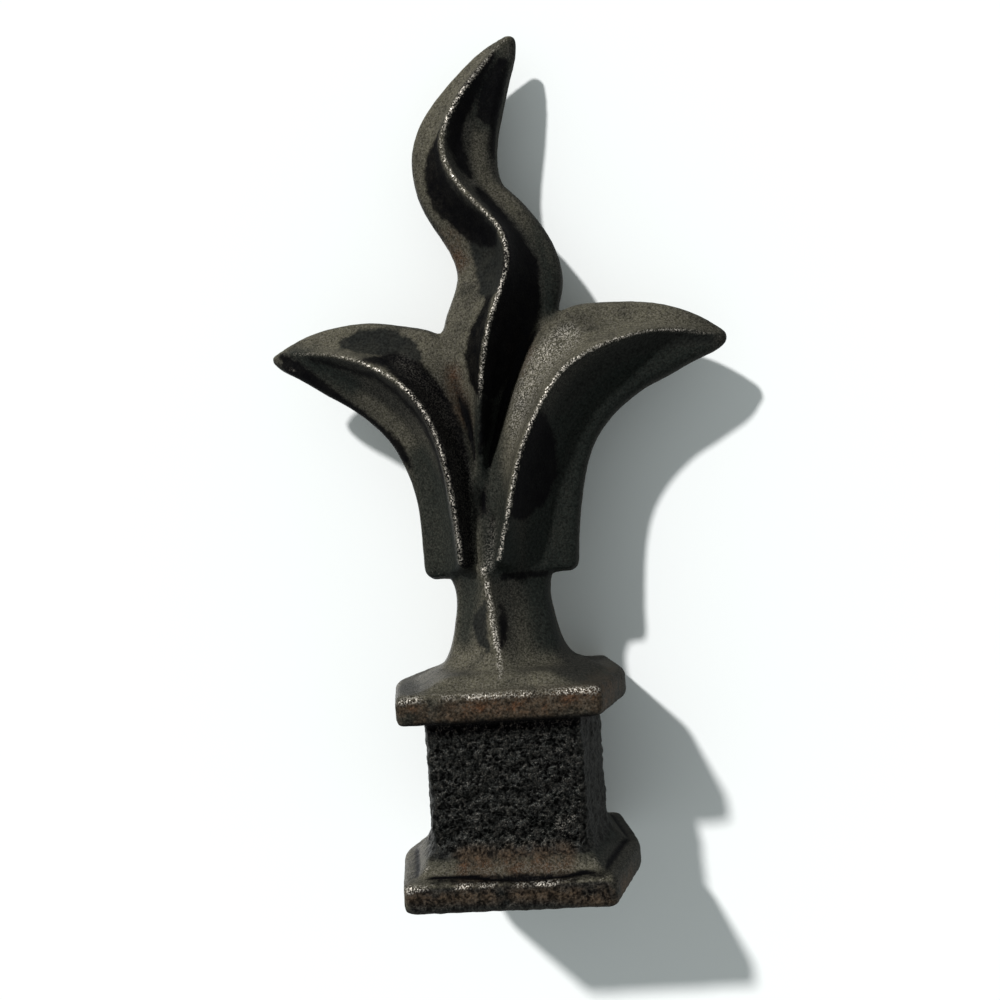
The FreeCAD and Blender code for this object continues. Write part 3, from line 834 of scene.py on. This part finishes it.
@dataclass
class FinialCasting:
    """The whole finial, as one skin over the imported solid."""

    voxel: float = 0.62 * MM
    merge_gap: float = 0.004 * MM
    chord_passes: int = 26
    edge_passes: int = 2
    edge_height: float = 0.16 * MM
    edge_start: float = 0.4
    keep_passes: int = 3
    near_passes: int = 10
    hollow_passes: int = 220
    facing_passes: int = 8
    soft_levels: tuple[tuple[float, float], ...] = ((8.2, 10.4), (41.9, 47.0))
    soft_fade: tuple[float, float] = (0.3, 2.0)
    levels: WearLevels = field(default_factory=WearLevels)
    finish: CastIronFinish = field(default_factory=CastIronFinish)
    skin: CastSkin = field(default_factory=CastSkin)
    stains_and_shade: tuple[Stroke, ...] = FRONT_STAINS_AND_SHADE
    neck_crest: Stroke = NECK_CREST

    def copy_solid(self) -> bpy.types.Object:
        """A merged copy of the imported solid's mesh, remeshed into even small faces.

        Returns:
            The new piece, at the origin.
        """
        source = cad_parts[NODE]
        work = bmesh.new()
        work.from_mesh(source.data)
        bmesh.ops.remove_doubles(work, verts=work.verts, dist=self.merge_gap)
        mesh = bpy.data.meshes.new("finial_skin")
        work.to_mesh(mesh)
        work.free()
        piece = bpy.data.objects.new("finial_skin", mesh)
        bpy.context.scene.collection.objects.link(piece)
        remesh = piece.modifiers.new("even faces", "REMESH")
        remesh.mode = "VOXEL"
        remesh.voxel_size = self.voxel
        remesh.adaptivity = 0.0
        finish_modifiers(piece)
        return piece

    @staticmethod
    def corners(mesh: bpy.types.Mesh) -> tuple[np.ndarray, np.ndarray]:
        """The mesh's points and edges as arrays.

        Args:
            mesh: the mesh that is read.

        Returns:
            One row of x, y, z for each vertex, and one pair of vertex numbers for each edge.
        """
        points = np.zeros(len(mesh.vertices) * 3)
        mesh.vertices.foreach_get("co", points)
        edges = np.zeros(len(mesh.edges) * 2, dtype=np.int64)
        mesh.edges.foreach_get("vertices", edges)
        return points.reshape(-1, 3), edges.reshape(-1, 2)

    @staticmethod
    def spread(values: np.ndarray, edges: np.ndarray, passes: int) -> np.ndarray:
        """Averages each vertex's value with its neighbours', several times over.

        Args:
            values: one row for each vertex.
            edges: pairs of vertex numbers.
            passes: how many times.

        Returns:
            The averaged rows.
        """
        count = np.bincount(edges.ravel(), minlength=len(values)).clip(1)
        result = values.reshape(len(values), -1).copy()
        for _ in range(passes):
            total = np.empty_like(result)
            for axis in range(result.shape[1]):
                column = result[:, axis]
                total[:, axis] = np.bincount(edges[:, 0], column[edges[:, 1]], len(column))
                total[:, axis] += np.bincount(edges[:, 1], column[edges[:, 0]], len(column))
            result = 0.5 * result + 0.5 * total / count[:, None]
        return result.reshape(values.shape)

    @staticmethod
    def normals(mesh: bpy.types.Mesh) -> np.ndarray:
        """The mesh's vertex normals as an array.

        Args:
            mesh: the mesh that is read.

        Returns:
            One row for each vertex.
        """
        found = np.zeros(len(mesh.vertices) * 3)
        mesh.vertices.foreach_get("normal", found)
        return found.reshape(-1, 3)

    @staticmethod
    def step(values: np.ndarray, low: float, high: float) -> np.ndarray:
        """A smooth step from 0 at low to 1 at high; low may be the larger.

        Args:
            values: one value for each vertex.
            low: where the step is 0.
            high: where the step is 1.

        Returns:
            The step for each vertex.
        """
        share = ((values - low) / (high - low)).clip(0, 1)
        return share * share * (3 - 2 * share)

    def smooth_chords(self, piece: bpy.types.Object) -> None:
        """Rounds the straight chords of the hollow flanks and keeps the crests and edges.

        Args:
            piece: the evenly meshed piece.
        """
        mesh = piece.data
        points, edges = self.corners(mesh)
        soft = self.spread(points, edges, self.chord_passes)
        crisp = self.spread(points, edges, self.edge_passes)
        height = ((points - soft) * self.normals(mesh)).sum(1)
        level = points[:, 2] / MM
        softened = np.zeros(len(level))
        below, above = self.soft_fade
        for low, high in self.soft_levels:
            inside = self.step(level, low - below, low) * self.step(level, high + above, high)
            softened = np.maximum(softened, inside)
        height = np.abs(height) * (1 - softened)
        keep = self.step(height, self.edge_start * self.edge_height, self.edge_height)
        keep = self.spread(keep, edges, self.keep_passes)
        mesh.vertices.foreach_set("co", (soft + keep[:, None] * (crisp - soft)).ravel())
        mesh.update()

    def crest_mask(
        self, x: np.ndarray, z: np.ndarray, ahead: np.ndarray, near: np.ndarray
    ) -> np.ndarray:
        """Where the crests above the neck are rubbed.

        Args:
            x: the vertices' x in millimetres.
            z: the vertices' z in millimetres.
            ahead: how squarely each faces the front or the back.
            near: how many millimetres each stands above its surroundings.

        Returns:
            The mask, without the rib between the leaves and the right leaf's foot.
        """
        at = self.levels
        low, high = at.crest_rise
        more = at.leaf_rise * self.step(z, *at.leaf_level)
        raised = self.step(near, low + more, high + more)
        rib = self.step(np.abs(x - at.rib_middle), *at.rib_side)
        rib = rib * self.step(z, *at.rib_low) * self.step(z, *at.rib_high)
        foot = self.step(z, *at.right_foot_level) * self.step(x, *at.right_foot_side)
        here = (1 - rib) * (1 - foot) * self.step(z, *at.crest_level)
        return here * self.step(ahead, *at.crest_facing) * raised

    def sand_mask(self, z: np.ndarray, ahead: np.ndarray) -> np.ndarray:
        """Where the skin is coarse sand: the block, and the fronts of the foot and the collar.

        Args:
            z: the vertices' z in millimetres.
            ahead: how squarely each faces the front or the back.

        Returns:
            The mask, 1 on the block's front.
        """
        at = self.levels
        block = self.step(z, *at.block_low) * self.step(z, *at.block_high)
        block = block * (at.side_sand + (1 - at.side_sand) * ahead**2)
        foot = at.foot_sand * self.step(z, *at.foot_band)
        collar = at.collar_sand * self.step(z, *at.collar_low) * self.step(z, *at.collar_high)
        return np.maximum(block, (foot + collar) * ahead**2)

    def add_masks(self, piece: bpy.types.Object) -> None:
        """Works out the finish's masks from the shape and stores them on the piece.

        Args:
            piece: the smoothed piece.
        """
        at = self.levels
        mesh = piece.data
        points, edges = self.corners(mesh)
        normals = self.normals(mesh)
        near = ((points - self.spread(points, edges, self.near_passes)) * normals).sum(1) / MM
        wide = ((points - self.spread(points, edges, self.hollow_passes)) * normals).sum(1) / MM
        soft = self.spread(normals, edges, self.facing_passes)
        soft = soft / np.linalg.norm(soft, axis=1)[:, None]
        x, y, z = (points / MM).T
        ahead = np.abs(soft[:, 1])
        # Painted light: how squarely each vertex turns towards the key lamp
        turned = at.key_lamp_toward[0] * soft[:, 0] + at.key_lamp_toward[1] * ahead + at.key_lamp_toward[2] * soft[:, 2]
        above = self.step(z, *at.above_collar)
        # Rims: the upper edges of the bands, rubbed bright and partly painted glints
        rim = self.step(near, *at.rim_rise) * self.step(soft[:, 2], *at.rim_lean)
        behind = y + at.stain_and_shade_depth
        line = np.maximum(self.neck_crest.outside(x, z), behind)
        masks = {
            Mask.CREST: np.maximum(
                self.crest_mask(x, z, ahead, near), self.step(line, *at.neck_crest)
            ),
            Mask.RIM: (1 - above) * rim * self.step(ahead, *at.rim_facing),
            # Painted shade in the crevice low on the foot, and black in the deepest concave places above
            # the collar
            Mask.CREVICE: self.step(z, *at.crevice_level) * self.step(near, *at.crevice_rise),
            Mask.HOLLOW: above * self.step(wide, *at.hollow_rise),
            Mask.COARSE: self.sand_mask(z, ahead),
            Mask.PAINTED_LIT_SIDE: self.step(turned, *at.painted_lit_range),
        }
        for kind in (Mask.BLACK, Mask.FILM, Mask.RUST, Mask.DARK_AND_SHADE, Mask.SHEEN):
            gaps = [stain_and_shade.outside(x, z) for stain_and_shade in self.stains_and_shade if stain_and_shade.kind is kind]
            masks[kind] = np.maximum(np.min(gaps, axis=0), behind)
        for mask, values in masks.items():
            stored = mesh.attributes.new(mask.value, "FLOAT", "POINT")
            stored.data.foreach_set("value", values.astype(np.float32))
            log.info("mask %s: mean %.3f, largest %.3f", mask.value, values.mean(), values.max())

    def build(self) -> bpy.types.Object:
        """Makes, dresses and seats the casting.

        Returns:
            The finished piece.
        """
        piece = self.copy_solid()
        self.smooth_chords(piece)
        self.add_masks(piece)
        self.skin.apply(piece, self.finish.build())
        for polygon in piece.data.polygons:
            polygon.use_smooth = True
        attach(piece, BODY)
        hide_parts(NODE)
        return piece


@dataclass
class PhotographCamera:
    """The camera that took the photograph, fitted to the casting, in its frame."""

    place: tuple[float, float, float] = (0.02922, -0.2345, 0.0743)
    yaw: float = -0.0785
    pitch: float = 0.0067
    roll: float = -0.0702
    lens: float = 41.4
    shift: float = -0.05
    sensor: float = 36.0
    nearest: float = 10.0 * MM

    def build(self) -> bpy.types.Object:
        """Makes the camera and sets it as the scene's.

        Returns:
            The camera.
        """
        right = Vector((cos(self.yaw), -sin(self.yaw), 0.0))
        level = cos(self.pitch)
        forward = Vector((level * sin(self.yaw), level * cos(self.yaw), sin(self.pitch)))
        up = right.cross(forward)
        side = cos(self.roll) * right + sin(self.roll) * up
        top = -sin(self.roll) * right + cos(self.roll) * up
        data = bpy.data.cameras.new("photograph_camera")
        data.sensor_width = self.sensor
        data.lens = self.lens
        data.shift_x = self.shift
        data.clip_start = self.nearest
        camera = bpy.data.objects.new("photograph_camera", data)
        rows = Matrix((side, top, -forward)).transposed()
        camera.matrix_world = Matrix.Translation(self.place) @ rows.to_4x4()
        bpy.context.scene.collection.objects.link(camera)
        bpy.context.scene.camera = camera
        return camera


@dataclass(frozen=True)
class Lamp:
    """A far soft lamp, by the direction towards it."""

    name: str
    towards: tuple[float, float, float]
    strength: float
    spread: float

    def build(self) -> bpy.types.Object:
        """Makes the lamp.

        Returns:
            The lamp.
        """
        data = bpy.data.lights.new(self.name, "SUN")
        data.energy = self.strength
        data.angle = radians(self.spread)
        lamp = bpy.data.objects.new(self.name, data)
        lamp.rotation_mode = "QUATERNION"
        lamp.rotation_quaternion = Vector(self.towards).to_track_quat("Z", "Y")
        bpy.context.scene.collection.objects.link(lamp)
        return lamp


@dataclass
class Studio:
    """The pale surface that the casting lies against, the lamps and the pale surroundings."""

    floor_place: float = 28.67 * MM
    floor_lean: float = -0.1169
    floor_turn: float = -0.0473
    floor_half: float = 1.2
    floor_colour: str = "#fcfdfc"
    fill: float = 0.38
    fill_colour: str = "#eff9f9"
    seen_colour: str = "#ffffff"
    lamps: tuple[Lamp, ...] = (
        Lamp("key_lamp", (-0.5247, -1.0, 0.7157), 3.2, 3.0),
        Lamp("back_lamp", (-0.6, 1.0, 0.15), 2.0, 30.0),
    )

    def surface(self) -> bpy.types.Material:
        """The pale surface's finish: seen from its front only, and it stops no lamp behind it.

        Returns:
            The material.
        """
        material = bpy.data.materials.new("pale board, painted")
        material.use_nodes = True
        tree = material.node_tree
        tree.nodes.clear()
        paint = add_node(tree, "ShaderNodeBsdfDiffuse", {"Color": linear(self.floor_colour)}).outputs[0]
        clear = add_node(tree, "ShaderNodeBsdfTransparent").outputs[0]
        behind = add_node(tree, "ShaderNodeNewGeometry").outputs["Backfacing"]
        to_lamp = add_node(tree, "ShaderNodeLightPath").outputs["Is Shadow Ray"]
        open_to = largest(tree, behind, to_lamp)
        mixed = add_node(tree, "ShaderNodeMixShader", {0: open_to, 1: paint, 2: clear}).outputs[0]
        add_node(tree, "ShaderNodeOutputMaterial", {"Surface": mixed})
        return material

    def build_floor(self) -> bpy.types.Object:
        """Makes the pale surface that the casting leans against, facing the camera.

        Returns:
            The surface.
        """
        far = self.floor_half
        corners = [
            (x, self.floor_place + self.floor_turn * x + self.floor_lean * z, z)
            for x, z in ((-far, -far), (far, -far), (far, far), (-far, far))
        ]
        mesh = bpy.data.meshes.new("pale_surface")
        mesh.from_pydata(corners, [], [(0, 1, 2, 3)])
        floor = bpy.data.objects.new("pale_surface", mesh)
        floor.data.materials.append(self.surface())
        bpy.context.scene.collection.objects.link(floor)
        return floor

    def build_world(self) -> None:
        """Pale surroundings: white where the camera, metal or glass looks, a soft fill elsewhere."""
        world = bpy.data.worlds.new("pale_surroundings")
        world.use_nodes = True
        tree = world.node_tree
        tree.nodes.clear()
        path = add_node(tree, "ShaderNodeLightPath").outputs
        seen = largest(
            tree, path["Is Camera Ray"], path["Is Glossy Ray"], path["Is Transmission Ray"]
        )
        strength = scaled(tree, seen, (0, 1), (self.fill, 1.0))
        tint = layer(tree, seen, linear(self.fill_colour), linear(self.seen_colour))
        sky = add_node(tree, "ShaderNodeBackground", {"Color": tint, "Strength": strength})
        add_node(tree, "ShaderNodeOutputWorld", {"Surface": sky.outputs[0]})
        bpy.context.scene.world = world

    def build(self) -> None:
        """Makes the surface, the lamps and the surroundings."""
        self.build_floor()
        for lamp in self.lamps:
            lamp.build()
            log.info("lamp %s at strength %.1f", lamp.name, lamp.strength)
        self.build_world()


def main() -> None:
    """Builds the camera, the casting and the studio in order."""
    logging.basicConfig(level=logging.INFO, format="%(name)s: %(message)s")
    scene = bpy.context.scene
    scene.view_settings.view_transform = "Standard"
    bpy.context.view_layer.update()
    PhotographCamera().build()
    piece = FinialCasting().build()
    log.info("piece %s has %d faces", piece.name, len(piece.data.polygons))
    Studio().build()


if __name__ == "__main__":
    main()
